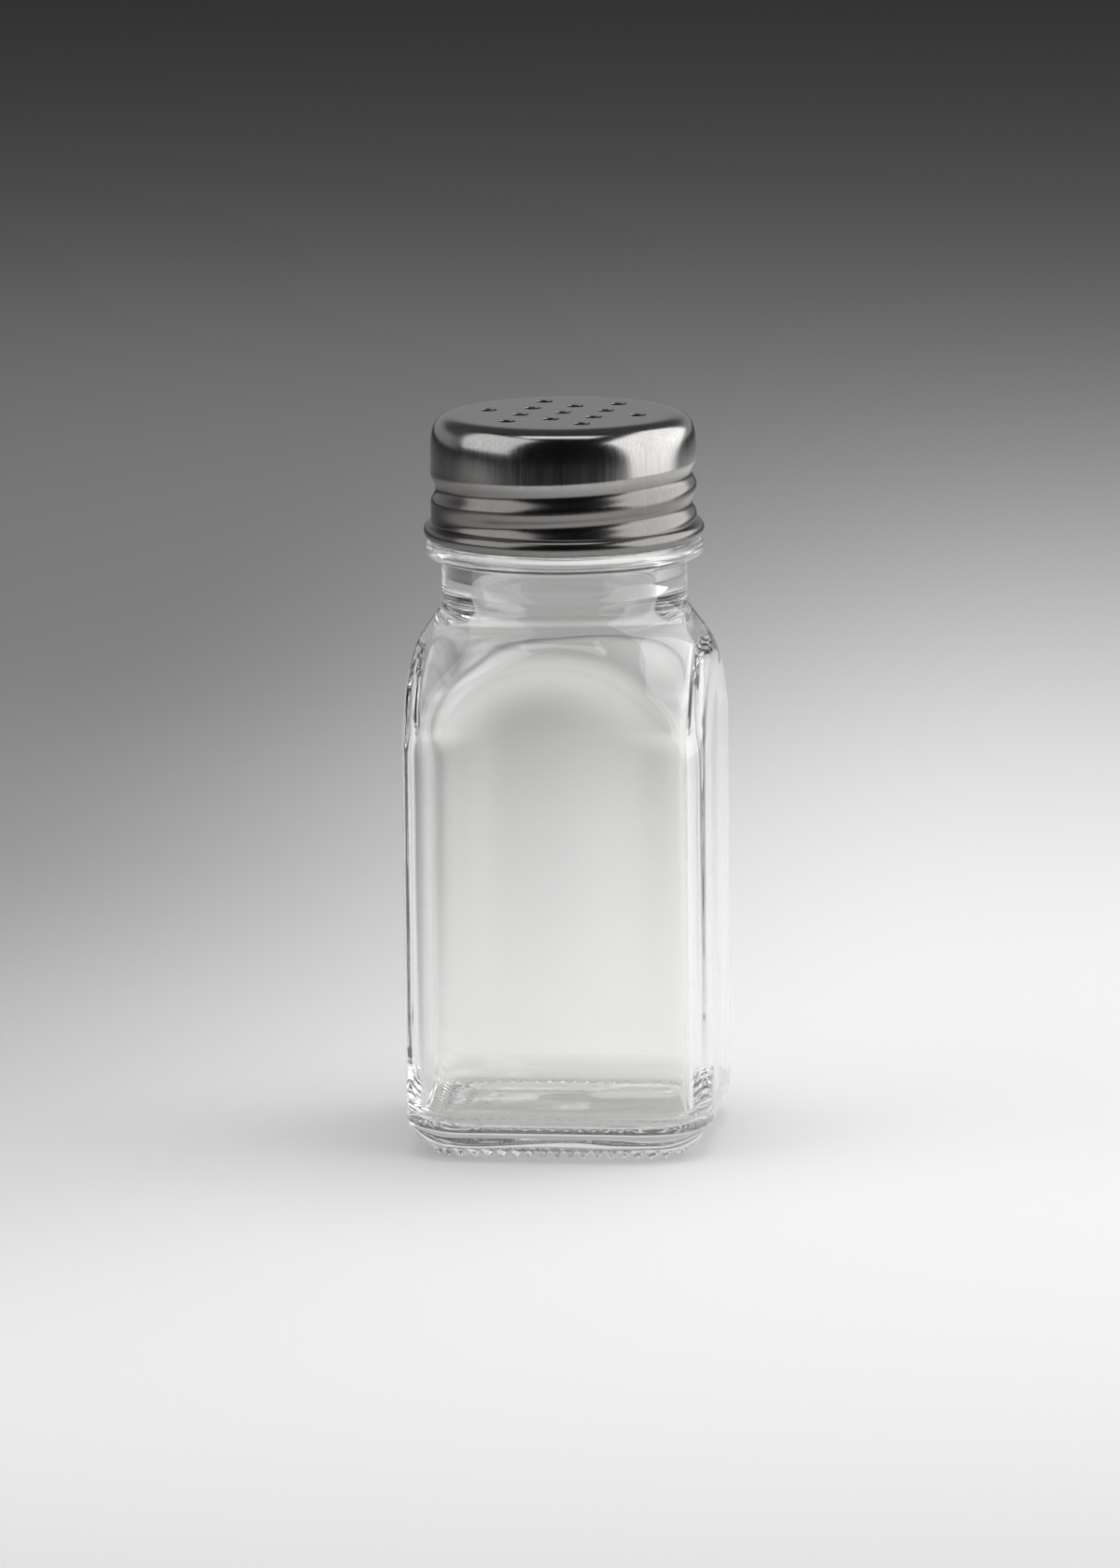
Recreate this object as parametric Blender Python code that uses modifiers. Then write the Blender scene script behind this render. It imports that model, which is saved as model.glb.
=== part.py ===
"""Square glass salt shaker with a stamped steel screw cap.

Three pieces: a clear glass jar, a sealing ring that lies on its rim, and a one-piece cap with a rolled
thread. Lengths are in metres and angles in degrees. +Z is up, the origin is under the middle of the base,
and the front of the shaker faces -Y. The cap turns on the Z axis and climbs one pitch for each turn.
"""

import math

import bmesh
import bpy
import numpy as np

# Glass body
BODY_WIDTH = 0.0400
BODY_CORNER = 0.0070
SIDE_WALL = 0.0026
HEEL_RADIUS = 0.0040
FOOT_WIDTH = 0.0035
FOOT_CORNER = 0.0010
PUSH_UP = 0.0008
PUSH_UP_SLOPE = 0.0015
BASE_THICKNESS = 0.0040
INNER_HEEL = 0.0030

# Shoulder: a turned dome that runs out on the flat faces as an arch
SHOULDER_HEIGHT = 0.0691
SHOULDER_DROP = 0.0126
SHOULDER_ARC = 0.0332
SHOULDER_WALL = 0.0016
FACE_BLEND = 0.0018

# Neck, glass ring and the finish under the cap
FINISH_RADIUS = 0.0155
FINISH_WALL = 0.0035
NECK_STEP = 0.0004
NECK_LENGTH = 0.0075
NECK_BLEND = 0.0020
RING_REACH = 0.0026
RING_HEIGHT = 0.0019
RING_EDGE = 0.0008
RIM_EDGE = 0.0008

# Screw thread, right-handed: the ridge on the glass and the groove rolled into the cap
THREAD_PITCH = 0.0039
THREAD_START = 0.0029
THREAD_START_ANGLE = 200.0
THREAD_FADE_ANGLE = 45.0
GLASS_THREAD_HEIGHT = 0.0009
GLASS_THREAD_WIDTH = 0.0022
GLASS_THREAD_SEAT = 0.00135
ROLLED_DEPTH = 0.00065
ROLLED_WIDTH = 0.0037

# Cap
CAP_HEIGHT = 0.0162
CAP_STEEL = 0.0004
CAP_EDGE = 0.0030
CAP_PLAIN_BAND = 0.0068
CURL_REACH = 0.00095
CURL_HEIGHT = 0.0022

# Shaker holes: one in the middle and two rings around it
HOLE_RADIUS = 0.0011
HOLES_PER_RING = 6
INNER_HOLE_RING = 0.0057
OUTER_HOLE_RING = 0.0100
OUTER_HOLE_ANGLE = -9.7

# Sealing ring
SEAL_THICKNESS = 0.0016
SEAL_SETBACK = 0.0006

# Clearances
SEAT_GAP = 0.0003
CAP_CLEARANCE = 0.0004

# Fineness of the surfaces
FLAT_STEPS = 6
CORNER_STEPS = 6
TURN_STEPS = 44
ARC_STEPS = 6
SHOULDER_STEPS = 9
THREAD_ROW = 0.0006
HOLE_SIDES = 16
SHARP_ANGLE = 40.0

MERGE_DISTANCE = 1e-6

# Finishes: colour, roughness, metallic value and transmission
CLEAR_GLASS = ((0.95, 0.97, 0.96), 0.02, 0.0, 1.0)
STAINLESS_STEEL = ((0.55, 0.54, 0.52), 0.28, 1.0, 0.0)
SEAL_PLASTIC = ((0.80, 0.80, 0.78), 0.50, 0.0, 0.0)

# Sizes that follow from the ones above
BODY_HALF = BODY_WIDTH / 2
CORNER_REACH = (BODY_HALF - BODY_CORNER) * math.sqrt(2) + BODY_CORNER
NECK_RADIUS = FINISH_RADIUS + NECK_STEP
BORE_RADIUS = FINISH_RADIUS - FINISH_WALL
RING_RADIUS = FINISH_RADIUS + RING_REACH
CAP_INNER_RADIUS = FINISH_RADIUS + GLASS_THREAD_HEIGHT + CAP_CLEARANCE
CAP_RADIUS = CAP_INNER_RADIUS + CAP_STEEL
CAP_INNER_EDGE = CAP_EDGE - CAP_STEEL

# Heights, from the base upwards
RING_BOTTOM = SHOULDER_HEIGHT + NECK_LENGTH
RING_TOP = RING_BOTTOM + RING_HEIGHT
CAP_BOTTOM = RING_TOP + SEAT_GAP
CAP_TOP = CAP_BOTTOM + CAP_HEIGHT
CAP_CEILING = CAP_TOP - CAP_STEEL
SEAL_TOP = CAP_CEILING - SEAT_GAP
SEAL_BOTTOM = SEAL_TOP - SEAL_THICKNESS
RIM_TOP = SEAL_BOTTOM - SEAT_GAP
CURL_TOP = CAP_BOTTOM + CURL_HEIGHT
THREAD_BOTTOM = CAP_BOTTOM + THREAD_START
THREAD_TOP = CAP_TOP - CAP_PLAIN_BAND
THREAD_TURNS = (THREAD_TOP - THREAD_BOTTOM) / THREAD_PITCH


def soft_min(first, second, blend):
    """Lesser of two lengths, rounded off where they differ by less than the blend."""
    overlap = np.maximum(blend - np.abs(first - second), 0.0) / blend
    return np.minimum(first, second) - overlap ** 2 * blend / 4


def soft_max(first, second, blend):
    """Greater of two lengths, rounded off in the same way."""
    return -soft_min(-first, -second, blend)


def square_reach(angles, half_width, corner):
    """Distance from the axis to a square with round corners, along each angle."""
    corner = min(corner, half_width)
    along = np.maximum(np.abs(np.cos(angles)), np.abs(np.sin(angles)))
    across = np.minimum(np.abs(np.cos(angles)), np.abs(np.sin(angles)))
    centre = half_width - corner
    flat = half_width / along
    lean = centre * (along + across)
    arc = lean + np.sqrt(np.maximum(lean ** 2 - 2 * centre ** 2 + corner ** 2, 0.0))
    return np.where(flat * across > centre, arc, flat)


def arc_points(centre, radii, start, end, steps):
    """Points on an arc in the profile plane, from one angle in degrees to another, both ends included."""
    turn = np.radians(np.linspace(start, end, steps + 1))
    return [(centre[0] + radii[0] * math.cos(t), centre[1] + radii[1] * math.sin(t)) for t in turn]


def heights(low, high, spacing):
    """Evenly spaced heights from low to high, no further apart than the spacing."""
    return np.linspace(low, high, max(2, math.ceil(abs(high - low) / spacing) + 1))


def dome_centre():
    """Centre of the shoulder's arc, which ends at the neck and at the foot of the dome on the corners."""
    neck = np.array([NECK_RADIUS, SHOULDER_HEIGHT])
    foot = np.array([CORNER_REACH, SHOULDER_HEIGHT - SHOULDER_DROP])
    chord = foot - neck
    length = np.linalg.norm(chord)
    inward = np.array([chord[1], -chord[0]]) / length
    return (neck + foot) / 2 + inward * math.sqrt(max(SHOULDER_ARC ** 2 - (length / 2) ** 2, 0.0))


def dome_reach(z, wall):
    """Radius of the dome at a height, a wall's thickness in from its outer face. Below its foot it widens."""
    centre = dome_centre()
    foot = SHOULDER_HEIGHT - SHOULDER_DROP
    radius = SHOULDER_ARC - wall
    rise = np.clip(max(z, foot) - centre[1], -radius, radius)
    return centre[0] + math.sqrt(radius ** 2 - rise ** 2) + max(foot - z, 0.0)


def thread_swell(angles, z, offset, width):
    """Height of the thread's round ridge, from 0 to 1, at each angle and height.

    The ridge follows a right-handed helix, moved up by the offset, and fades away at its two ends.
    """
    start = math.radians(THREAD_START_ANGLE)
    fade = math.radians(THREAD_FADE_ANGLE)
    length = THREAD_TURNS * 2 * math.pi
    turned = np.mod(angles - start, 2 * math.pi)
    climb = (z - offset - THREAD_BOTTOM) / THREAD_PITCH
    lap = np.round(climb - turned / (2 * math.pi))
    travel = turned + lap * 2 * math.pi
    aside = (climb - travel / (2 * math.pi)) * THREAD_PITCH
    ridge = np.where(np.abs(aside) < width / 2, (1 + np.cos(2 * math.pi * aside / width)) / 2, 0.0)
    ends = np.clip(np.minimum(travel, length - travel) / fade, 0.0, 1.0)
    return ridge * ends ** 2 * (3 - 2 * ends)


def ring_angles():
    """Angles of the jar's upright lines: evenly over each flat, and closer together round each corner."""
    edge = math.atan2(BODY_HALF - BODY_CORNER, BODY_HALF)
    flat = np.linspace(-edge, edge, FLAT_STEPS, endpoint=False)
    corner = np.linspace(edge, math.pi / 2 - edge, CORNER_STEPS, endpoint=False)
    quarter = np.concatenate([flat, corner])
    return np.concatenate([quarter + turn * math.pi / 2 for turn in range(4)])


def ring(angles, reach, z):
    """One closed ring of points at a height."""
    reach = np.broadcast_to(reach, angles.shape)
    return np.stack([reach * np.cos(angles), reach * np.sin(angles), np.full(angles.shape, z)], axis=1)


def base_rings(angles):
    """Rings under the jar, from the hollow in the middle over the flat foot and round the heel.

    Each ring is the body's square drawn in evenly all round, so its corners grow tighter towards the middle.
    """
    foot_outer = BODY_HALF - HEEL_RADIUS
    foot_inner = foot_outer - FOOT_WIDTH
    outline = [(foot_inner - PUSH_UP_SLOPE, PUSH_UP), (foot_inner, 0.0)]
    outline += arc_points((foot_outer, HEEL_RADIUS), (HEEL_RADIUS, HEEL_RADIUS), -90, 0, ARC_STEPS)
    rings = []
    for half, z in outline:
        corner = max(BODY_CORNER - (BODY_HALF - half), FOOT_CORNER)
        rings.append(ring(angles, square_reach(angles, half, corner), z))
    return rings


def shoulder_rings(angles, half_width, corner, wall, throat, levels):
    """Rings where the square walls, the dome and the round neck meet, at the given heights."""
    walls = square_reach(angles, half_width, corner)
    rings = []
    for z in levels:
        body = soft_min(walls, dome_reach(z, wall), FACE_BLEND)
        rings.append(ring(angles, soft_max(body, throat, NECK_BLEND), z))
    return rings


def finish_rings(angles):
    """Rings up the neck, round the glass ring, over the thread and across the rim."""
    edge = (RING_EDGE, RING_EDGE)
    outline = [(NECK_RADIUS, RING_BOTTOM)]
    outline += arc_points((RING_RADIUS - RING_EDGE, RING_BOTTOM + RING_EDGE), edge, -90, 0, ARC_STEPS)
    outline += arc_points((RING_RADIUS - RING_EDGE, RING_TOP - RING_EDGE), edge, 0, 90, ARC_STEPS)
    rings = [ring(angles, radius, z) for radius, z in outline]
    rings.append(ring(angles, FINISH_RADIUS, RING_TOP))
    for z in heights(THREAD_BOTTOM, RIM_TOP - RIM_EDGE, THREAD_ROW):
        swell = thread_swell(angles, z, GLASS_THREAD_SEAT, GLASS_THREAD_WIDTH)
        rings.append(ring(angles, FINISH_RADIUS + GLASS_THREAD_HEIGHT * swell, z))
    rings.append(ring(angles, FINISH_RADIUS - RIM_EDGE, RIM_TOP))
    rings.append(ring(angles, BORE_RADIUS + RIM_EDGE, RIM_TOP))
    rings.append(ring(angles, BORE_RADIUS, RIM_TOP - RIM_EDGE))
    return rings


def floor_rings(angles, half_width, corner):
    """Rings down the round inner heel to the flat floor inside the jar."""
    centre = (half_width - INNER_HEEL, BASE_THICKNESS + INNER_HEEL)
    outline = arc_points(centre, (INNER_HEEL, INNER_HEEL), 0, -90, ARC_STEPS)
    return [ring(angles, square_reach(angles, half, corner), z) for half, z in outline]


def skin(name, rings):
    """A closed mesh over a row of rings, with a face across the first ring and the last."""
    count = len(rings[0])
    start = np.arange(len(rings) - 1)[:, None] * count
    this = np.arange(count)[None, :]
    after = (this + 1) % count
    corners = [start + this, start + after, start + count + after, start + count + this]
    faces = np.stack(corners, axis=-1).reshape(-1, 4).tolist()
    faces.append(list(range(count))[::-1])
    faces.append(list(range(count * (len(rings) - 1), count * len(rings))))
    mesh = bpy.data.meshes.new(name)
    mesh.from_pydata(np.concatenate(rings).tolist(), [], faces)
    return mesh


def material(name, finish):
    """A Principled material in the part's own colour."""
    colour, roughness, metallic, transmission = finish
    made = bpy.data.materials.new(name)
    made.use_nodes = True
    shader = made.node_tree.nodes["Principled BSDF"]
    shader.inputs["Base Color"].default_value = (*colour, 1.0)
    shader.inputs["Roughness"].default_value = roughness
    shader.inputs["Metallic"].default_value = metallic
    shader.inputs["Transmission Weight"].default_value = transmission
    return made


def collection(name):
    """A new collection in the scene."""
    made = bpy.data.collections.new(name)
    bpy.context.scene.collection.children.link(made)
    return made


def place(name, mesh, owner, surface):
    """An object for one piece, shaded smooth apart from its sharp edges, with its origin under the jar."""
    mesh.shade_smooth()
    mesh.set_sharp_from_angle(angle=math.radians(SHARP_ANGLE))
    mesh.materials.append(surface)
    made = bpy.data.objects.new(name, mesh)
    owner.objects.link(made)
    return made


def turned(name, profile, closed):
    """A mesh turned about the Z axis from a profile that runs down its outer side."""
    count = len(profile)
    edges = [(i, i + 1) for i in range(count - 1)]
    if closed:
        edges.append((count - 1, 0))
    outline = bpy.data.meshes.new(name + "_profile")
    outline.from_pydata([(radius, 0.0, z) for radius, z in profile], edges, [])
    blank = bpy.data.objects.new(name + "_blank", outline)
    bpy.context.scene.collection.objects.link(blank)
    screw = blank.modifiers.new("turn", "SCREW")
    screw.axis = "Z"
    screw.steps = TURN_STEPS
    screw.render_steps = TURN_STEPS
    screw.use_merge_vertices = True
    screw.merge_threshold = MERGE_DISTANCE
    graph = bpy.context.evaluated_depsgraph_get()
    mesh = bpy.data.meshes.new_from_object(blank.evaluated_get(graph))
    mesh.name = name
    bpy.data.objects.remove(blank)
    bpy.data.meshes.remove(outline)
    return mesh


def glass_jar(owner):
    """The jar: a square body that a dome draws in to a round threaded neck, hollow down to a thick base."""
    angles = ring_angles()
    inner_half = BODY_HALF - SIDE_WALL
    inner_corner = max(BODY_CORNER - SIDE_WALL, SIDE_WALL)
    neck_foot = SHOULDER_HEIGHT + NECK_BLEND
    dome_foot = SHOULDER_HEIGHT - SHOULDER_DROP - FACE_BLEND
    outer_levels = np.linspace(dome_foot, neck_foot, SHOULDER_STEPS + 1)
    inner_levels = outer_levels[::-1] - SHOULDER_WALL / 2
    rings = base_rings(angles)
    rings += shoulder_rings(angles, BODY_HALF, BODY_CORNER, 0.0, NECK_RADIUS, outer_levels)
    rings += finish_rings(angles)
    rings += shoulder_rings(angles, inner_half, inner_corner, SHOULDER_WALL, BORE_RADIUS, inner_levels)
    rings += floor_rings(angles, inner_half, inner_corner)
    return place("glass_jar", skin("glass_jar", rings), owner, material("clear_glass", CLEAR_GLASS))


def cap_profile():
    """Outline of the cap without its thread: top, round edge, skirt and curl, then back up the inside."""
    edge_centre = (CAP_RADIUS - CAP_EDGE, CAP_TOP - CAP_EDGE)
    curl_centre = (CAP_RADIUS, CAP_BOTTOM + CURL_HEIGHT / 2)
    rows = heights(THREAD_TOP + ROLLED_WIDTH / 2, THREAD_BOTTOM - ROLLED_WIDTH / 2, THREAD_ROW)
    outline = [(0.0, CAP_TOP)]
    outline += arc_points(edge_centre, (CAP_EDGE, CAP_EDGE), 90, 0, ARC_STEPS)
    outline += [(CAP_RADIUS, z) for z in rows if CURL_TOP < z < edge_centre[1]]
    outline += arc_points(curl_centre, (CURL_REACH, CURL_HEIGHT / 2), 90, -90, 2 * ARC_STEPS)
    outline.append((CAP_INNER_RADIUS, CAP_BOTTOM))
    outline += [(CAP_INNER_RADIUS, z) for z in rows[::-1] if CAP_BOTTOM < z < edge_centre[1]]
    outline += arc_points(edge_centre, (CAP_INNER_EDGE, CAP_INNER_EDGE), 0, 90, ARC_STEPS)
    outline.append((0.0, CAP_CEILING))
    return outline


def roll_thread(mesh):
    """Press the thread into the skirt: each point of the steel moves in by the depth of the groove there."""
    points = np.empty(len(mesh.vertices) * 3)
    mesh.vertices.foreach_get("co", points)
    points = points.reshape(-1, 3)
    reach = np.hypot(points[:, 0], points[:, 1])
    angles = np.arctan2(points[:, 1], points[:, 0])
    groove = thread_swell(angles, points[:, 2], 0.0, ROLLED_WIDTH)
    skirt = (reach > CAP_INNER_RADIUS - CAP_STEEL) & (points[:, 2] > CURL_TOP)
    pressed = reach - np.where(skirt, ROLLED_DEPTH * groove, 0.0)
    points[:, :2] *= (pressed / np.maximum(reach, CAP_STEEL))[:, None]
    mesh.vertices.foreach_set("co", points.ravel())
    mesh.update()


def hole_centres():
    """Places of the shaker holes on the top: the middle, then the two rings, half a step apart."""
    step = 2 * math.pi / HOLES_PER_RING
    outer = math.radians(OUTER_HOLE_ANGLE)
    places = [(0.0, 0.0)]
    for radius, first in ((INNER_HOLE_RING, outer + step / 2), (OUTER_HOLE_RING, outer)):
        turns = [first + step * i for i in range(HOLES_PER_RING)]
        places += [(radius * math.cos(turn), radius * math.sin(turn)) for turn in turns]
    return places


def hole_punches(owner):
    """Cutter for all the shaker holes: one upright cylinder for each, past both faces of the top."""
    punches = bmesh.new()
    for x, y in hole_centres():
        made = bmesh.ops.create_cone(punches, cap_ends=True, segments=HOLE_SIDES, radius1=HOLE_RADIUS,
                                     radius2=HOLE_RADIUS, depth=3 * CAP_STEEL)
        bmesh.ops.translate(punches, verts=made["verts"], vec=(x, y, CAP_TOP - CAP_STEEL / 2))
    mesh = bpy.data.meshes.new("hole_punches")
    punches.to_mesh(mesh)
    punches.free()
    cutter = bpy.data.objects.new("hole_punches", mesh)
    owner.objects.link(cutter)
    cutter.hide_render = True
    cutter.display_type = "WIRE"
    return cutter


def shaker_cap(owner, cutters):
    """The cap: turned from its outline, rolled to make the thread, then punched."""
    mesh = turned("shaker_cap", cap_profile(), closed=False)
    roll_thread(mesh)
    made = place("shaker_cap", mesh, owner, material("stainless_steel", STAINLESS_STEEL))
    punch = made.modifiers.new("shaker_holes", "BOOLEAN")
    punch.operation = "DIFFERENCE"
    punch.object = hole_punches(cutters)
    return made


def sealing_ring(owner):
    """The sealing ring: it lies on the rim, and its round shoulder fits the inside of the cap's edge."""
    centre = (CAP_RADIUS - CAP_EDGE, CAP_TOP - CAP_EDGE)
    shoulder = SEAL_TOP - centre[1]
    low = math.degrees(math.asin(max(SEAL_BOTTOM - centre[1], 0.0) / shoulder))
    inner = BORE_RADIUS + SEAL_SETBACK
    outline = [(inner, SEAL_TOP)]
    outline += arc_points(centre, (shoulder, shoulder), 90, low, ARC_STEPS)
    if SEAL_BOTTOM < centre[1]:
        outline.append((centre[0] + shoulder, SEAL_BOTTOM))
    outline.append((inner, SEAL_BOTTOM))
    mesh = turned("sealing_ring", outline, closed=True)
    return place("sealing_ring", mesh, owner, material("seal_plastic", SEAL_PLASTIC))


def main():
    """Clear the scene and make the three pieces."""
    for old in list(bpy.data.objects):
        bpy.data.objects.remove(old)
    parts = collection("salt_shaker")
    cutters = collection("cutters")
    glass_jar(parts)
    sealing_ring(parts)
    shaker_cap(parts, cutters)


main()
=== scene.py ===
"""Looks of the square glass salt shaker: a pressed clear jar, a stamped steel screw cap and its sealing ring.

Lengths are in metres and angles in degrees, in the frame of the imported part: +Z is up, the origin is under
the middle of the base and the front faces -Y. Every surface is worked out as whole arrays on a grid.
"""

import math

import bmesh
import bpy
import numpy as np
from mathutils import Matrix, Quaternion, Vector


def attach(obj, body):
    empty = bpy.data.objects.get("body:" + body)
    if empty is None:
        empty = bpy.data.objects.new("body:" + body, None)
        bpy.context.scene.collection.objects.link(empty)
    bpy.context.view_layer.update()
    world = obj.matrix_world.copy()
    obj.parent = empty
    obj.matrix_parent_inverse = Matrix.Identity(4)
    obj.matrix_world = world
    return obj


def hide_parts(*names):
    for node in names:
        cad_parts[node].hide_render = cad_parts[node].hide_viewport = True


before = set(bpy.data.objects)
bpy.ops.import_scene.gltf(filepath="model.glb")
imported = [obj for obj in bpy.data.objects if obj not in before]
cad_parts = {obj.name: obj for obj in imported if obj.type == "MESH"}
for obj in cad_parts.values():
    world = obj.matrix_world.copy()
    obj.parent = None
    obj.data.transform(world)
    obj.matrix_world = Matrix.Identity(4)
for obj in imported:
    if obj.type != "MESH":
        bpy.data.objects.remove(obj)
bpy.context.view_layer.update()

# Glass body
BODY_HALF = 0.01999
BODY_CORNER = 0.0070
CORNER_EASE = 6.0
EASE_SAMPLES = 9
OUTLINE_SAMPLES = 40
SIDE_WALL = 0.0026
INNER_CORNER = 0.0020
HEEL_RADIUS = 0.0050
FOOT_WIDTH = 0.0035
PUSH_UP = 0.0008
PUSH_UP_SLOPE = 0.0015
BASE_THICKNESS = 0.0040
INNER_HEEL_WIDTH = 0.0045
INNER_HEEL_HEIGHT = 0.0030

# Half width of the rows beside the poles, and how much rounder than the body the corners are under the jar
POLE_HALF = 0.0010
HEEL_ROUNDING = 0.06

# Soft waves in the floor of the jar: two sines, in radians a metre along x and y
FLOOR_WAVE = 0.00006
FLOOR_WAVE_START = 0.4
LONG_WAVE = (160.0, 430.0)
SHORT_WAVE = (290.0, -620.0)
SHORT_WAVE_SHARE = 0.6
SHORT_WAVE_SHIFT = 1.0

# Bearing beads: the row of small bumps that the jar stands on
BEAD_COUNT = 68
BEAD_COLUMNS = 6
BEAD_HEIGHT = 0.0007
BEAD_REACH = 0.01628
BEAD_WIDTH = 0.0019

# Shoulder: a turned dome that runs out on the flat faces as an arch
SHOULDER_HEIGHT = 0.0691
SHOULDER_DROP = 0.0126
SHOULDER_ARC = 0.0332
SHOULDER_WALL = 0.0016
FACE_BLEND = 0.0050
INNER_FACE_BLEND = 0.0026
INNER_NECK_BLEND = 0.0090

# Neck, glass ring, and the finish, which is the threaded glass under the cap
FINISH_RADIUS = 0.0155
FINISH_FILLET = 0.0003
NECK_RADIUS = 0.0159
NECK_STRAIGHT = 0.0012
NECK_FILLET = 0.0004
NECK_BLEND = 0.0045
BORE_RADIUS = 0.0120
RING_BOTTOM = 0.0766
RING_TOP = 0.0785
RING_RADIUS = 0.0181
RING_EDGE = 0.0008
RIM_TOP = 0.0924
RIM_EDGE = 0.0008

# Screw thread, right-handed: the ridge on the glass and the groove rolled into the cap
THREAD_PITCH = 0.0039
THREAD_BOTTOM = 0.0817
THREAD_TOP = 0.0882
THREAD_START_ANGLE = 200.0
THREAD_FADE_ANGLE = 45.0
GLASS_THREAD_HEIGHT = 0.0009
GLASS_THREAD_WIDTH = 0.0022
GLASS_THREAD_SEAT = 0.00135
ROLLED_DEPTH = 0.00065
ROLLED_WIDTH = 0.0037

# Cap
CAP_BOTTOM = 0.0788
CAP_TOP = 0.0950
CAP_RADIUS = 0.0172
CAP_STEEL = 0.0004
CAP_EDGE = 0.0042
CAP_EDGE_DROP = 0.0060
CAP_EDGE_POWER = 3.6
CURL_REACH = 0.00095
CURL_HEIGHT = 0.0022
CAP_COLUMNS = 288

# Shaker holes: one in the middle and two rings around it, each in its own cell of the top
HOLE_RADIUS = 0.0011
HOLE_LIP = 0.00008
HOLES_PER_RING = 6
INNER_HOLE_RING = 0.0057
OUTER_HOLE_RING = 0.0100
OUTER_HOLE_ANGLE = -9.7
CELL_SHARES = (1.0, 0.66, 0.36, 0.14, 0.0)
CELL_SIDE_STEPS = 8
CELL_SLANT_STEPS = 10
CELL_RIM_STEPS = 6

# Sealing ring
SEAL_TOP = 0.0943
SEAL_BOTTOM = 0.0927
SEAL_INNER = 0.0126
SEAL_EDGE = 0.0030
SEAL_NICK = 0.0002
SEAL_COLUMNS = 96

# Points closer than this are one point
WELD_DISTANCE = 1e-7

# Glass finish
GLASS_INDEX = 1.52
GLASS_CLEAN = (0.983, 0.984, 0.978, 1.0)
GLASS_HAZED = (0.970, 0.972, 0.967, 1.0)
GLASS_SHADOW = (0.80, 0.803, 0.797, 1.0)
HAZE_ROUGHNESS = 0.015
GLASS_BOUNCES = 32

# Steel finish. Its painted shade, in the thread and in the holes, ends between two heights, or two squares of
# the distance from the axis.
STEEL_DARK = (0.36, 0.355, 0.35, 1.0)
STEEL_LIGHT = (0.50, 0.49, 0.48, 1.0)
STEEL_PAINTED_SHADE = (0.12, 0.112, 0.105, 1.0)
STEEL_ROUGHNESS = 0.11
GRAIN_ROUGHNESS = 0.16
THREAD_ROUGHNESS = 0.08
STREAK_SHARE = 0.75
THREAD_PAINTED_SHADE = 0.64
THREAD_SHADE_EDGE = (0.0862, 0.0890)
HOLE_PAINTED_SHADE = 0.85
HOLE_SHADE_TOP = (0.0948, 0.09499)
HOLE_SHADE_EDGE = (0.000156, 0.000166)

# Sealing plastic
SEAL_DARK = (0.74, 0.74, 0.71, 1.0)
SEAL_LIGHT = (0.84, 0.84, 0.82, 1.0)
SEAL_SCATTER = (0.001, 0.001, 0.001)
SEAL_ROUGHNESS = 0.4
MOTTLE_ROUGHNESS = 0.2

# Studio floor: its greys, the square of the distance at which they fall to half like painted light, its
# painted shades and its painted glows
FLOOR_REACH = 6.0
FLOOR_NEAR = 0.74
FLOOR_FAR = 0.08
FLOOR_FALL = 0.22
FLOOR_FALL_POWER = 1.5
FRONT_SHADE = 0.98
SIDE_SHADE = 0.6
UNDER_GLOW = 0.10
FAR_GLOW = 0.35

# Studio air: its greys
BACKDROP_GREY = 0.33
BACKDROP_GLASS_GAIN = 0.05
GLASS_GREY = 0.70
OVERHEAD_GREY = 0.07
DARK_GREY = 0.004

# Camera: where the photograph was taken from
CAMERA_AZIMUTH = 6.49
CAMERA_ELEVATION = 10.61
CAMERA_DISTANCE = 1.397
CAMERA_ROLL = -0.6
CAMERA_TARGET = (0.0, 0.0, 0.0475)
AIM_RIGHT = -0.00087
AIM_UP = -0.00126
LENS = 246.96
SENSOR = 36.0


def smooth(value):
    """An S-shaped step from 0 to 1: 3 v squared less 2 v cubed, with v held between 0 and 1."""
    held = np.clip(value, 0.0, 1.0)
    return held ** 2 * (3 - 2 * held)


def soft_min(first, second, blend):
    """Lesser of two lengths, rounded off by a cubic where they differ by less than the blend."""
    overlap = np.maximum(blend - np.abs(first - second), 0.0) / blend
    return np.minimum(first, second) - overlap ** 3 * blend / 6


def soft_max(first, second, blend):
    """Greater of two lengths, rounded off in the same way."""
    return -soft_min(-first, -second, blend)


def sharp_square(angles, half_width, corner):
    """Distance from the axis to a square with round corners: the flat's half width over the greater of cosine
    and sine, or on a corner the far crossing of the ray with the corner's circle."""
    along = np.maximum(np.abs(np.cos(angles)), np.abs(np.sin(angles)))
    across = np.minimum(np.abs(np.cos(angles)), np.abs(np.sin(angles)))
    centre = half_width - corner
    flat = half_width / along
    lean = centre * (along + across)
    crossing = lean + np.sqrt(np.maximum(lean ** 2 - 2 * centre ** 2 + corner ** 2, 0.0))
    return np.where(flat * across > centre, crossing, flat)


def square_reach(angles, half_width, corner):
    """The same square with its flats easing into its corners: one over the distance, averaged over a small
    turn and put back to scale, which leaves the flats flat."""
    turns = np.radians(np.linspace(-CORNER_EASE, CORNER_EASE, EASE_SAMPLES))
    mean = sum(1 / sharp_square(angles + turn, half_width, corner) for turn in turns) / len(turns)
    return np.mean(np.cos(turns)) / mean


def arc(centre, radii, start, end, steps):
    """Points on a circle or an ellipse in the profile plane, from one angle to another: the centre plus the
    radius, or the two radii, times cosine and sine."""
    across, up = np.broadcast_to(radii, 2)
    turn = np.radians(np.linspace(start, end, steps + 1))
    return np.stack([centre[0] + across * np.cos(turn), centre[1] + up * np.sin(turn)], axis=1)


def line(first, second, steps):
    """Evenly spaced points from one profile point to another, both included."""
    return np.linspace(first, second, steps + 1)


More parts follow.
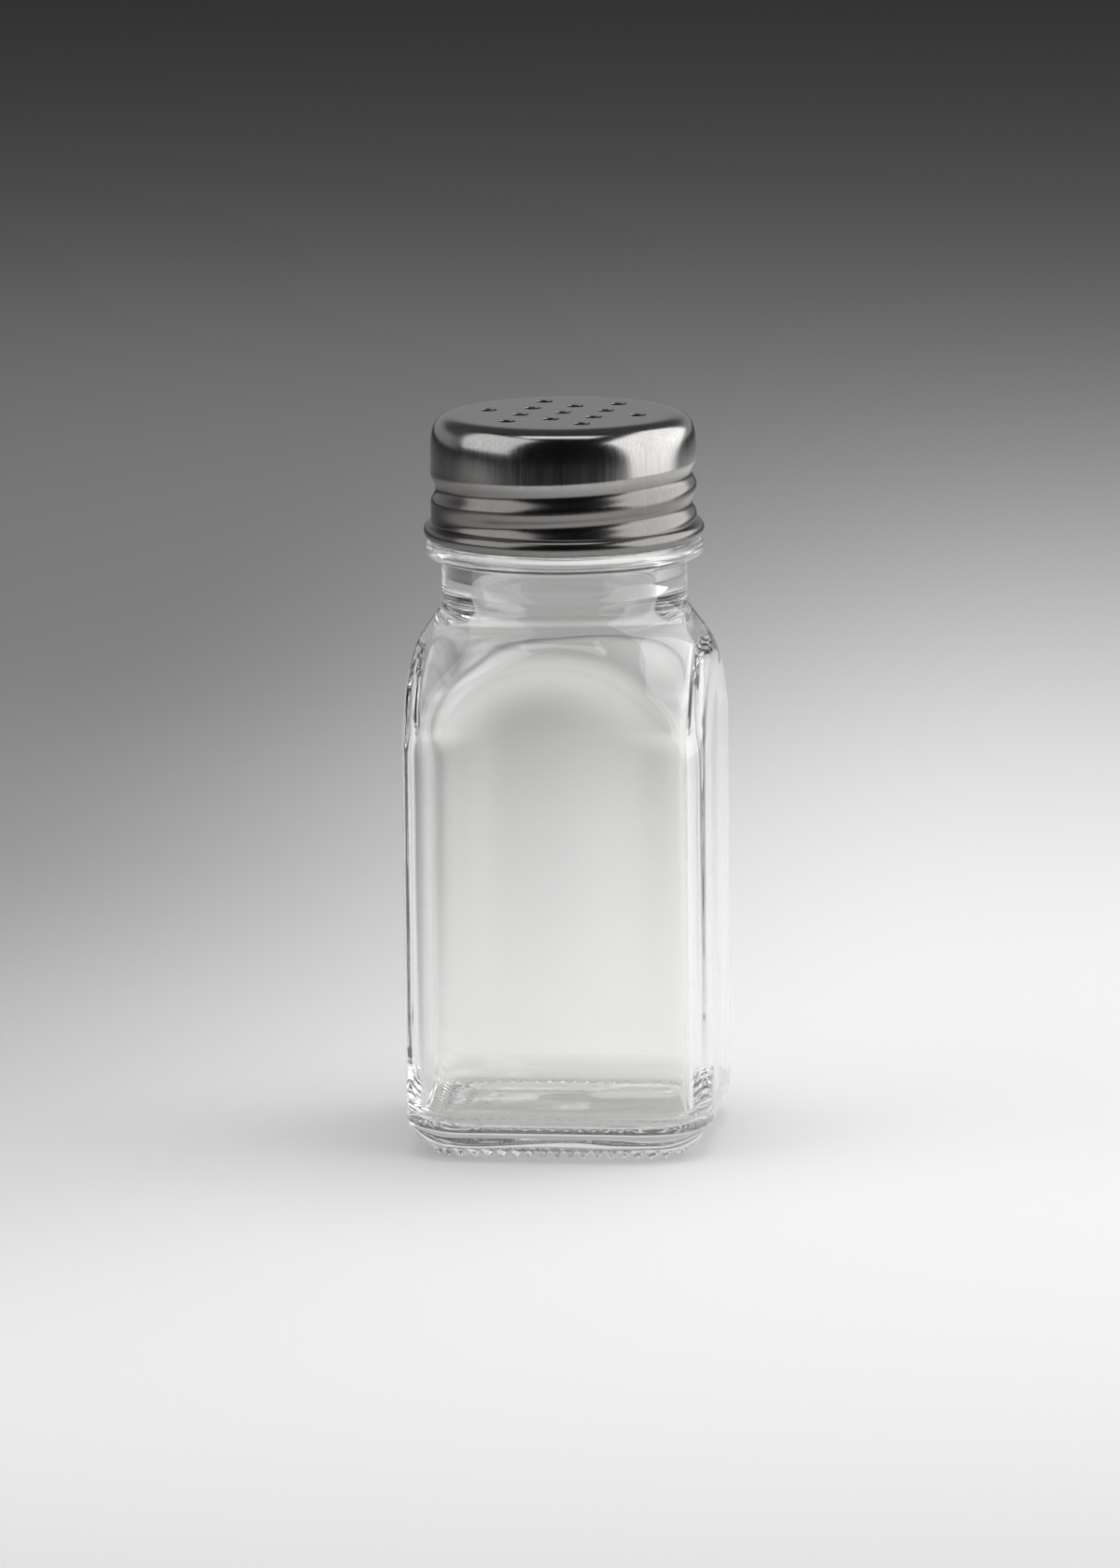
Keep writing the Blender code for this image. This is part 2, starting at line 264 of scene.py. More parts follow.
def thread_swell(angles, z, offset, width):
    """Height of the thread's ridge from 0 to 1: a raised cosine across a right-handed helix that climbs one
    pitch a turn, moved up by the offset, and faded by an S-shaped step at its two ends."""
    fade = math.radians(THREAD_FADE_ANGLE)
    length = (THREAD_TOP - THREAD_BOTTOM) / THREAD_PITCH * math.tau
    turned = np.mod(angles - math.radians(THREAD_START_ANGLE), math.tau)
    climb = (z - offset - THREAD_BOTTOM) / THREAD_PITCH
    lap = np.round(climb - turned / math.tau)
    travel = turned + lap * math.tau
    aside = (climb - travel / math.tau) * THREAD_PITCH
    ridge = np.where(np.abs(aside) < width / 2, (1 + np.cos(math.tau * aside / width)) / 2, 0.0)
    return ridge * smooth(np.minimum(travel, length - travel) / fade)


def around(angles, reach, z):
    """Points at a reach from the axis along each angle, at a height: the cylinder formula on whole grids."""
    reach, z, _ = np.broadcast_arrays(reach, z, angles)
    return np.stack([reach * np.cos(angles), reach * np.sin(angles), z], axis=-1)


def grid_faces(rows, columns, first=0):
    """Four-cornered faces of a grid that closes on itself along its rows, counted from a first point."""
    start = first + np.arange(rows - 1)[:, None] * columns
    this = np.arange(columns)[None, :]
    after = (this + 1) % columns
    corners = [start + this, start + after, start + columns + after, start + columns + this]
    return np.stack(corners, axis=-1).reshape(-1, 4)


def piece(name, points, faces, body, node, finish):
    """A shown piece from points and faces: welded, smooth, and riding on its body in place of its node."""
    mesh = bpy.data.meshes.new(name)
    mesh.from_pydata(points.reshape(-1, 3).tolist(), [], faces)
    welded = bmesh.new()
    welded.from_mesh(mesh)
    bmesh.ops.remove_doubles(welded, verts=welded.verts, dist=WELD_DISTANCE)
    welded.to_mesh(mesh)
    welded.free()
    mesh.shade_smooth()
    mesh.materials.append(finish)
    made = bpy.data.objects.new(name, mesh)
    bpy.context.scene.collection.objects.link(made)
    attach(made, body)
    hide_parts(node)


class Shade:
    """One output of a material's node. Sums on it are written as Python expressions and add Math nodes."""

    def __init__(self, tree, socket=None):
        self.tree = tree
        self.socket = socket

    def node(self, kind, settings=None, inputs=None, output=0):
        """Add a node of a kind, set it up, feed its sockets with values or links, and give one output."""
        made = self.tree.nodes.new(kind)
        for name, value in (settings or {}).items():
            setattr(made, name, value)
        for name, value in (inputs or {}).items():
            if isinstance(value, Shade):
                self.tree.links.new(value.socket, made.inputs[name])
            else:
                made.inputs[name].default_value = value
        return Shade(self.tree, made.outputs[output])

    def sum(self, operation, *terms):
        """One Math node on two terms."""
        return self.node("ShaderNodeMath", {"operation": operation}, dict(enumerate(terms)))

    def __add__(self, other):
        return self.sum("ADD", self, other)

    def __sub__(self, other):
        return self.sum("SUBTRACT", self, other)

    def __rsub__(self, other):
        return self.sum("SUBTRACT", other, self)

    def __mul__(self, other):
        return self.sum("MULTIPLY", self, other)

    def __truediv__(self, other):
        return self.sum("DIVIDE", self, other)

    def __rtruediv__(self, other):
        return self.sum("DIVIDE", other, self)

    def __pow__(self, other):
        return self.sum("POWER", self, other)

    __radd__ = __add__
    __rmul__ = __mul__

    def step(self, low, high):
        """An S-shaped step from 0 at low to 1 at high."""
        inputs = {0: self, 1: low, 2: high}
        return self.node("ShaderNodeMapRange", {"interpolation_type": "SMOOTHSTEP"}, inputs)

    def along(self, axis):
        """One of a vector's three numbers, counted from 0."""
        return self.node("ShaderNodeSeparateXYZ", None, {0: self}, axis)

    def noise(self, stretch, detail):
        """Noise from 0 to 1 on this vector, stretched by three numbers."""
        inputs = {"Vector": self, "Scale": stretch}
        spread = self.node("ShaderNodeMapping", {"vector_type": "POINT"}, inputs)
        return self.node("ShaderNodeTexNoise", None, {"Vector": spread, "Scale": 1.0, "Detail": detail})

    def mix(self, first, second):
        """A blend of two colours by this amount."""
        return self.node("ShaderNodeMix", {"data_type": "RGBA"}, {0: self, 6: first, 7: second}, 2)

    def grey(self):
        """The grey of this level."""
        return self.node("ShaderNodeCombineColor", None, {0: self, 1: self, 2: self})

    def bump(self, strength, distance):
        """The normal of a surface with this relief."""
        inputs = {"Strength": strength, "Distance": distance, "Height": self}
        return self.node("ShaderNodeBump", None, inputs)

    def ray(self, kind):
        """1 for light rays of one kind and 0 for others."""
        return self.node("ShaderNodeLightPath", None, None, kind)


def blank_finish(name, constants):
    """A new material, its Principled shader with the constant values set, and its Object coordinates."""
    made = bpy.data.materials.new(name)
    made.use_nodes = True
    shader = made.node_tree.nodes["Principled BSDF"]
    for socket, value in constants.items():
        shader.inputs[socket].default_value = value
    place = Shade(made.node_tree).node("ShaderNodeTexCoord", None, None, "Object")
    return made, shader, place


def feed(shader, values):
    """Link shades to the sockets of a shader."""
    for socket, value in values.items():
        value.tree.links.new(value.socket, shader.inputs[socket])


def clear_glass():
    """Pressed clear glass with hardly a tint: soft mould waves in its surface and a thin haze of handling.
    Shadow and diffuse rays go straight through it with a loss."""
    made, shader, place = blank_finish("clear_glass", {"Transmission Weight": 1.0, "IOR": GLASS_INDEX})
    haze = place.noise((90.0, 90.0, 40.0), detail=4.0).step(0.52, 0.78)
    waves = place.noise((160.0, 160.0, 60.0), detail=1.0)
    feed(shader, {
        "Base Color": haze.mix(GLASS_CLEAN, GLASS_HAZED),
        "Roughness": haze * HAZE_ROUGHNESS,
        "Normal": waves.bump(strength=0.04, distance=0.0006)})
    straight = place.ray("Is Shadow Ray") + place.ray("Is Diffuse Ray")
    body = Shade(made.node_tree, shader.outputs[0])
    loss = place.node("ShaderNodeBsdfTransparent", None, {"Color": GLASS_SHADOW})
    mixed = place.node("ShaderNodeMixShader", None, {0: straight, 1: body, 2: loss})
    feed(made.node_tree.nodes["Material Output"], {"Surface": mixed})
    return made


def stamped_steel():
    """Stamped stainless steel: upright drawing lines on the skirt, with painted shade in the thread and in
    the holes.
    """
    made, shader, place = blank_finish("stainless_steel", {"Metallic": 1.0})
    streaks = place.noise((6000.0, 6000.0, 160.0), detail=3.0)
    broad = place.noise((500.0, 500.0, 60.0), detail=2.0)
    grain = streaks * STREAK_SHARE + broad * (1.0 - STREAK_SHARE)
    x, y, z = place.along(0), place.along(1), place.along(2)
    # Painted shade: the thread zone below one height is darkened towards the shade colour.
    thread = (1.0 - z.step(*THREAD_SHADE_EDGE)) * THREAD_PAINTED_SHADE
    # Painted shade: the walls of the holes, under the top and near the axis, are darkened towards the shade
    # colour.
    under_top = 1.0 - z.step(*HOLE_SHADE_TOP)
    near_axis = 1.0 - (x * x + y * y).step(*HOLE_SHADE_EDGE)
    holes = under_top * near_axis * HOLE_PAINTED_SHADE
    steel_tone = grain.step(0.25, 0.75).mix(STEEL_DARK, STEEL_LIGHT)
    feed(shader, {
        "Base Color": (thread + holes).mix(steel_tone, STEEL_PAINTED_SHADE),
        "Roughness": grain * GRAIN_ROUGHNESS + thread * THREAD_ROUGHNESS + STEEL_ROUGHNESS,
        "Normal": grain.bump(strength=0.2, distance=0.00003)})
    return made


def seal_plastic():
    """Milky sealing plastic: matt, with a faint mottle and the fine grain of its mould."""
    made, shader, place = blank_finish("seal_plastic", {
        "Subsurface Weight": 0.1, "Subsurface Radius": SEAL_SCATTER})
    mottle = place.noise((300.0, 300.0, 300.0), detail=3.0)
    fine = place.noise((3000.0, 3000.0, 3000.0), detail=2.0)
    feed(shader, {
        "Base Color": mottle.mix(SEAL_DARK, SEAL_LIGHT),
        "Roughness": mottle * MOTTLE_ROUGHNESS + SEAL_ROUGHNESS,
        "Normal": fine.bump(strength=0.2, distance=0.00005)})
    return made


def body_angles():
    """Angles of the jar's upright lines, in even steps along the body's outline: its run, inverted."""
    count = BEAD_COUNT * BEAD_COLUMNS
    fine = np.linspace(0.0, math.tau, OUTLINE_SAMPLES * count + 1)
    reach = square_reach(fine, BODY_HALF, BODY_CORNER)
    points = np.stack([reach * np.cos(fine), reach * np.sin(fine)], axis=1)
    run = np.concatenate([[0.0], np.cumsum(np.linalg.norm(np.diff(points, axis=0), axis=1))])
    return np.interp(np.arange(count) / count * run[-1], run, fine)


def dome_reach(z, wall):
    """Radius of the dome at a height, a wall inside its outer face: the shoulder's circle, through the foot
    of the neck and the body's corners at the dome's foot. Below its foot it opens out one to one."""
    corner_reach = (BODY_HALF - BODY_CORNER) * math.sqrt(2) + BODY_CORNER
    neck = np.array([NECK_RADIUS, SHOULDER_HEIGHT])
    foot = np.array([corner_reach, SHOULDER_HEIGHT - SHOULDER_DROP])
    chord = foot - neck
    length = np.linalg.norm(chord)
    inward = np.array([chord[1], -chord[0]]) / length
    centre = (neck + foot) / 2 + inward * math.sqrt(SHOULDER_ARC ** 2 - (length / 2) ** 2)
    radius = SHOULDER_ARC - wall
    rise = np.clip(np.maximum(z, foot[1]) - centre[1], -radius, radius)
    return centre[0] + np.sqrt(radius ** 2 - rise ** 2) + np.maximum(foot[1] - z, 0.0)


def underside(angles):
    """Under the jar, from the middle out: a hollow that steps down to the foot, the beads on it and the heel.
    Each row is the body's square drawn in by one amount all round, with slightly rounder corners. A bead is a
    raised cosine both ways, down to 0."""
    foot_outer = BODY_HALF - HEEL_RADIUS
    foot_inner = foot_outer - FOOT_WIDTH
    hollow = line((POLE_HALF, PUSH_UP), (foot_inner - PUSH_UP_SLOPE, PUSH_UP), steps=4)
    share = np.linspace(0.0, 1.0, 6)[1:]
    slope = np.stack([foot_inner - PUSH_UP_SLOPE * (1 - share),
                      PUSH_UP - (PUSH_UP - BEAD_HEIGHT) * smooth(share)], axis=1)
    foot = line((foot_inner, BEAD_HEIGHT), (foot_outer, BEAD_HEIGHT), steps=12)[1:]
    heel = arc((foot_outer, HEEL_RADIUS), (HEEL_RADIUS, HEEL_RADIUS - BEAD_HEIGHT), -90, 0, steps=12)[1:]
    outline = np.concatenate([hollow, slope, foot, heel])
    half, z = outline[:, :1], outline[:, 1:]
    flat = BODY_HALF - BODY_CORNER
    corner = np.maximum(half - flat, 0.0) + np.minimum(half, flat) * HEEL_ROUNDING
    across = np.clip((half - BEAD_REACH) / BEAD_WIDTH, -0.5, 0.5)
    turn = np.arange(len(angles)) / BEAD_COLUMNS * math.tau
    bead = (1 + np.cos(math.tau * across)) / 2 * (1 + np.cos(turn)) / 2
    return around(angles, square_reach(angles, half, corner), z * (1 - bead))


def wall_levels(bottom, top, dome_rows):
    """Heights of the rows up a wall above its bottom: four on the straight part, then closer ones."""
    dome_foot = SHOULDER_HEIGHT - SHOULDER_DROP - FACE_BLEND
    straight = np.linspace(bottom, dome_foot, 6)[1:-1]
    return np.concatenate([straight, np.linspace(dome_foot, top, dome_rows)])


def shoulder(angles, levels, half_width, corner, wall, throat, face_blend, neck_blend):
    """Square walls, dome and round neck joined: the lesser of walls and dome, then the greater of that and
    the neck's radius, both rounded off."""
    z = levels[:, None]
    body = soft_min(square_reach(angles, half_width, corner), dome_reach(z, wall), face_blend)
    return around(angles, soft_max(body, throat, neck_blend), z)


def neck_outline():
    """The neck and the glass ring in profile: a short straight line, a fillet, the ring's two quarter circles
    and the fillet into the finish."""
    ring_centre = RING_RADIUS - RING_EDGE
    neck_top = RING_BOTTOM - NECK_FILLET
    return np.concatenate([
        line((NECK_RADIUS, RING_BOTTOM - NECK_STRAIGHT), (NECK_RADIUS, neck_top), steps=2),
        arc((NECK_RADIUS + NECK_FILLET, neck_top), NECK_FILLET, 180, 90, steps=3)[1:],
        arc((ring_centre, RING_BOTTOM + RING_EDGE), RING_EDGE, -90, 0, steps=6),
        arc((ring_centre, RING_TOP - RING_EDGE), RING_EDGE, 0, 90, steps=6),
        arc((FINISH_RADIUS + FINISH_FILLET, RING_TOP + FINISH_FILLET), FINISH_FILLET, 270, 180, steps=3)])


def rim_outline():
    """The rim in profile: a quarter circle up from the finish, and one down into the bore."""
    height = RIM_TOP - RIM_EDGE
    return np.concatenate([
        arc((FINISH_RADIUS - RIM_EDGE, height), RIM_EDGE, 0, 90, steps=5)[1:],
        arc((BORE_RADIUS + RIM_EDGE, height), RIM_EDGE, 90, 180, steps=5)])


def inside_floor(angles, half_width, corner):
    """The floor inside the jar, from the walls in: a quarter ellipse round the inner heel, then a flat with
    soft waves. They are the sum of two sines that run askew, faded in by an S-shaped step from the heel."""
    foot = half_width - INNER_HEEL_WIDTH
    heel_centre = (foot, BASE_THICKNESS + INNER_HEEL_HEIGHT)
    heel = arc(heel_centre, (INNER_HEEL_WIDTH, INNER_HEEL_HEIGHT), 0, -90, steps=20)
    flat = line((foot, BASE_THICKNESS), (POLE_HALF, BASE_THICKNESS), steps=10)[1:]
    outline = np.concatenate([heel, flat])
    half, z = outline[:, :1], outline[:, 1:]
    rows = around(angles, square_reach(angles, half, np.minimum(corner, half)), z)
    x, y = rows[..., 0], rows[..., 1]
    long_wave = np.sin(LONG_WAVE[0] * x + LONG_WAVE[1] * y)
    short_wave = np.sin(SHORT_WAVE[0] * x + SHORT_WAVE[1] * y + SHORT_WAVE_SHIFT)
    fade = smooth((half_width - half) / INNER_HEEL_WIDTH - FLOOR_WAVE_START)
    rows[..., 2] += FLOOR_WAVE * (long_wave + SHORT_WAVE_SHARE * short_wave) * fade
    return rows


def glass_jar():
    """The jar as one closed skin: under the base, up the outside, over the rim, and down the inside to the
    floor, with a pole in the middle of each end."""
    angles = body_angles()
    inner_half = BODY_HALF - SIDE_WALL
    outer_levels = wall_levels(HEEL_RADIUS, SHOULDER_HEIGHT + NECK_BLEND, dome_rows=42)
    inner_levels = wall_levels(BASE_THICKNESS + INNER_HEEL_HEIGHT, RING_BOTTOM, dome_rows=60)
    outside = shoulder(angles, outer_levels, BODY_HALF, BODY_CORNER, 0.0, NECK_RADIUS, FACE_BLEND, NECK_BLEND)
    inside = shoulder(angles, inner_levels, inner_half, INNER_CORNER, SHOULDER_WALL, BORE_RADIUS,
                      INNER_FACE_BLEND, INNER_NECK_BLEND)
    neck = neck_outline()
    threaded = line((FINISH_RADIUS, THREAD_BOTTOM), (FINISH_RADIUS, RIM_TOP - RIM_EDGE), steps=26)
    swell = thread_swell(angles, threaded[:, 1:], GLASS_THREAD_SEAT, GLASS_THREAD_WIDTH)
    rim = rim_outline()
    rows = np.concatenate([
        underside(angles),
        outside,
        around(angles, neck[:, :1], neck[:, 1:]),
        around(angles, threaded[:, :1] + GLASS_THREAD_HEIGHT * swell, threaded[:, 1:]),
        around(angles, rim[:, :1], rim[:, 1:]),
        inside[::-1],
        inside_floor(angles, inner_half, INNER_CORNER)])
    count, columns = rows.shape[:2]
    faces = grid_faces(count, columns).tolist()
    this = np.arange(columns)
    after = (this + 1) % columns
    last = (count - 1) * columns
    poles = np.array([[0.0, 0.0, PUSH_UP], [0.0, 0.0, rows[-1, :, 2].mean()]])
    under = np.full(columns, count * columns)
    faces += np.stack([after, this, under], axis=1).tolist()
    faces += np.stack([last + this, last + after, under + 1], axis=1).tolist()
    points = np.concatenate([rows.reshape(-1, 3), poles])
    piece("jar_glass", points, faces, "jar", "glass_jar", clear_glass())


def polar(radius, degrees):
    """A point in the plane of the top, from its distance and angle."""
    return np.array([radius * math.cos(math.radians(degrees)), radius * math.sin(math.radians(degrees))])


def broken_line(*stretches):
    """The points along stretches that follow each other, each in equal steps, without the last point."""
    return np.concatenate([line(start, end, steps)[:-1] for start, end, steps in stretches])


def top_cells():
    """The steel round each shaker hole: the hole's centre and the closed edge of the area nearest to it, as
    points. Neighbours share the points of the edge between them, a corner between cells is equally far from
    three holes, and the outer cells end on the top's circle."""
    side, slant, spoke = CELL_SIDE_STEPS, CELL_SLANT_STEPS, CELL_RIM_STEPS
    step = 360.0 / HOLES_PER_RING
    half = math.cos(math.radians(step / 2))
    inner, outer, rim = INNER_HOLE_RING, OUTER_HOLE_RING, CAP_RADIUS - CAP_EDGE
    near = inner / (2 * half)
    middle = (outer ** 2 - inner ** 2) / (2 * (outer - inner * half))
    far = (outer ** 2 - inner ** 2) / (2 * (outer * half - inner))
    hexagon = [polar(near, OUTER_HOLE_ANGLE + step * k) for k in range(HOLES_PER_RING + 1)]
    sides = [(hexagon[k], hexagon[k + 1], side) for k in range(HOLES_PER_RING)]
    cells = [(np.zeros(2), broken_line(*sides))]
    rim_steps = CAP_COLUMNS // HOLES_PER_RING
    for k in range(HOLES_PER_RING):
        at = OUTER_HOLE_ANGLE + step * k
        before, beyond = at - step / 2, at + step / 2
        near_first, near_last = polar(near, at), polar(near, at + step)
        middle_first, middle_last = polar(middle, at), polar(middle, at + step)
        far_first, far_last = polar(far, before), polar(far, beyond)
        rim_first, rim_last = polar(rim, before), polar(rim, beyond)
        inner_edge = broken_line(
            (near_last, near_first, side), (near_first, middle_first, side), (middle_first, far_last, slant),
            (far_last, middle_last, slant), (middle_last, near_last, side))
        turns = np.radians(before + step * np.arange(rim_steps) / rim_steps)
        outer_edge = np.concatenate([
            broken_line((middle_first, far_first, slant), (far_first, rim_first, spoke)),
            rim * np.stack([np.cos(turns), np.sin(turns)], axis=1),
            broken_line((rim_last, far_last, spoke), (far_last, middle_first, slant))])
        cells.append((polar(inner, beyond), inner_edge))
        cells.append((polar(outer, at), outer_edge))
    return cells


def top_cell(centre, edge):
    """One cell of the top with its hole: from the cell's edge straight to the hole, over a round lip, down
    the hole's wall, round its lower lip and out again under the steel."""
    ceiling = CAP_TOP - CAP_STEEL
    spokes = edge - centre
    reach = np.linalg.norm(spokes, axis=1)
    unit = spokes / reach[:, None]
    outer = HOLE_RADIUS + HOLE_LIP
    flat_rows = len(CELL_SHARES)
    top = outer + (reach - outer) * np.array(CELL_SHARES)[:, None]
    lip = np.concatenate([
        arc((outer, CAP_TOP - HOLE_LIP), HOLE_LIP, 90, 180, steps=4)[1:],
        arc((outer, ceiling + HOLE_LIP), HOLE_LIP, 180, 270, steps=4)[:-1]])
    across = np.concatenate([top, np.broadcast_to(lip[:, :1], (len(lip), len(reach))), top[::-1]])
    z = np.concatenate([np.full(flat_rows, CAP_TOP), lip[:, 1], np.full(flat_rows, ceiling)])
    flat = centre + across[..., None] * unit
    return np.concatenate([flat, np.broadcast_to(z[:, None, None], across.shape + (1,))], axis=-1)


def cap_edge(centre, depth, steps):
    """The cap's round edge in profile, a depth under its outer face, from the skirt up to the top: a
    superellipse, with cosine and sine raised to two over its power."""
    turn = np.linspace(0.0, math.pi / 2, steps + 1)
    power = 2 / CAP_EDGE_POWER
    return np.stack([centre[0] + (CAP_EDGE - depth) * np.cos(turn) ** power,
                     centre[1] + (CAP_EDGE_DROP - depth) * np.sin(turn) ** power], axis=1)


def cap_outline():
    """The cap's skirt in profile: down the inside from the top, then curl, wall and round edge up the
    outside. A third column says how much of the rolled groove each point takes."""
    edge_centre = (CAP_RADIUS - CAP_EDGE, CAP_TOP - CAP_EDGE_DROP)
    curl_top = CAP_BOTTOM + CURL_HEIGHT
    curl_centre = (CAP_RADIUS, CAP_BOTTOM + CURL_HEIGHT / 2)
    inner = CAP_RADIUS - CAP_STEEL
    wall = line((CAP_RADIUS, curl_top), (CAP_RADIUS, edge_centre[1]), steps=84)[1:-1]
    back = line((inner, edge_centre[1]), (inner, CAP_BOTTOM), steps=60)[1:]
    parts = [
        (cap_edge(edge_centre, CAP_STEEL, steps=16)[::-1], 1.0),
        (back, 1.0),
        (arc(curl_centre, (CURL_REACH, CURL_HEIGHT / 2), -90, 90, steps=20), 0.0),
        (wall, 1.0),
        (cap_edge(edge_centre, 0.0, steps=28), 1.0)]
    outline = np.concatenate([points for points, _ in parts])
    takes = np.concatenate([np.full(len(points), share) for points, share in parts])
    return np.column_stack([outline, takes * (outline[:, 1] > curl_top)])


def shaker_cap():
    """The cap: its skirt turned from the outline and pressed in by the rolled groove, and a top of hole cells
    whose edges meet the skirt's first and last rows."""
    outline = cap_outline()
    start = math.radians(OUTER_HOLE_ANGLE - 180.0 / HOLES_PER_RING)
    angles = start + np.arange(CAP_COLUMNS) / CAP_COLUMNS * math.tau
    groove = thread_swell(angles, outline[:, 1:2], 0.0, ROLLED_WIDTH) * outline[:, 2:]
    skirt = around(angles, outline[:, :1] - ROLLED_DEPTH * groove, outline[:, 1:2])
    grids = [skirt] + [top_cell(centre, edge) for centre, edge in top_cells()]
    firsts = np.cumsum([0] + [grid.shape[0] * grid.shape[1] for grid in grids])
    faces = np.concatenate([grid_faces(*grid.shape[:2], first) for grid, first in zip(grids, firsts)])
    points = np.concatenate([grid.reshape(-1, 3) for grid in grids])
    piece("cap_steel", points, faces.tolist(), "cap", "shaker_cap", stamped_steel())


def sealing_ring():
    """The sealing ring, turned about the axis: flat, with an arc inside the cap's edge as outer shoulder."""
    centre = (CAP_RADIUS - SEAL_EDGE, CAP_TOP - SEAL_EDGE)
    shoulder_arc = SEAL_TOP - centre[1]
    low = math.degrees(math.asin((SEAL_BOTTOM - centre[1]) / shoulder_arc))
    nick_centre = SEAL_INNER + SEAL_NICK
    outline = np.concatenate([
        arc((nick_centre, SEAL_BOTTOM + SEAL_NICK), SEAL_NICK, 180, 270, steps=4),
        arc(centre, shoulder_arc, low, 90, steps=12),
        arc((nick_centre, SEAL_TOP - SEAL_NICK), SEAL_NICK, 90, 180, steps=4)])
    outline = np.concatenate([outline, outline[:1]])
    angles = np.arange(SEAL_COLUMNS) / SEAL_COLUMNS * math.tau
    grid = around(angles, outline[:, :1], outline[:, 1:])
    faces = grid_faces(*grid.shape[:2]).tolist()
    piece("seal_ring", grid, faces, "seal", "sealing_ring", seal_plastic())


def studio_floor():
    """A wide pale floor with a painted pool of light: its colour falls away from the middle, as the light
    does on a studio table. Under the jar it has a painted glow, for the light that the glass gathers there.
    Behind on the left it has a painted shade, far off a painted glow makes it pale through glass, and in
    front it shows as a painted dark reflection in the steel."""
    made, shader, place = blank_finish("studio_floor", {
        "Roughness": 0.9, "Specular IOR Level": 0.1, "Emission Strength": 1.0})
    x, y = place.along(0), place.along(1)
    away = x * x + y * y
    # Painted light: the floor's grey falls away from the middle like a pool of light.
    near = 1.0 / ((away / FLOOR_FALL) ** FLOOR_FALL_POWER + 1.0)
    # Painted dark reflection: the floor in front is dark only for glossy rays.
    front = (1.0 - y.step(-0.36, -0.24)) * place.ray("Is Glossy Ray") * FRONT_SHADE
    # Painted shade behind on the left.
    left = y.step(-0.20, 0.20) * (1.0 - y.step(0.30, 0.80)) * (1.0 - x.step(-0.12, 0.04)) * SIDE_SHADE
    level = (near * FLOOR_NEAR + FLOOR_FAR) * (1.0 - front) * (1.0 - left)
    # Painted glows: light gathered under the jar, and a pale floor far off seen through glass.
    under = (1.0 - ((x * x) ** 2.0 + (y * y) ** 2.0).step(5.0e-8, 1.1e-7)) * UNDER_GLOW
    glow = under + place.ray("Is Transmission Ray") * away.step(0.3, 0.9) * FAR_GLOW
    feed(shader, {"Base Color": level.grey(), "Emission Color": glow.grey()})
    mesh = bpy.data.meshes.new("studio_floor")
    corners = [(-1, -1), (1, -1), (1, 1), (-1, 1)]
    mesh.from_pydata([(FLOOR_REACH * a, FLOOR_REACH * b, 0.0) for a, b in corners], [], [(0, 1, 2, 3)])
    mesh.materials.append(made)
    floor = bpy.data.objects.new("studio_floor", mesh)
    bpy.context.scene.collection.objects.link(floor)


def studio_air():
    """The studio around: grey low behind the shaker, dark in front and overhead, and pale through glass."""
    world = bpy.data.worlds.new("studio_air")
    bpy.context.scene.world = world
    world.use_nodes = True
    way = Shade(world.node_tree).node("ShaderNodeTexCoord", None, None, "Generated")
    behind = way.along(1).step(-0.1, 0.5)
    low = 1.0 - way.along(2).step(0.22, 0.42)
    backdrop = behind * low
    through = way.ray("Is Transmission Ray")
    above = behind * (1.0 - low) * (1.0 - through)
    seen = backdrop * (through * BACKDROP_GLASS_GAIN + BACKDROP_GREY)
    in_glass = through * (1.0 - backdrop) * GLASS_GREY
    level = seen + in_glass + above * OVERHEAD_GREY + DARK_GREY
    feed(world.node_tree.nodes["Background"], {"Color": level.grey()})


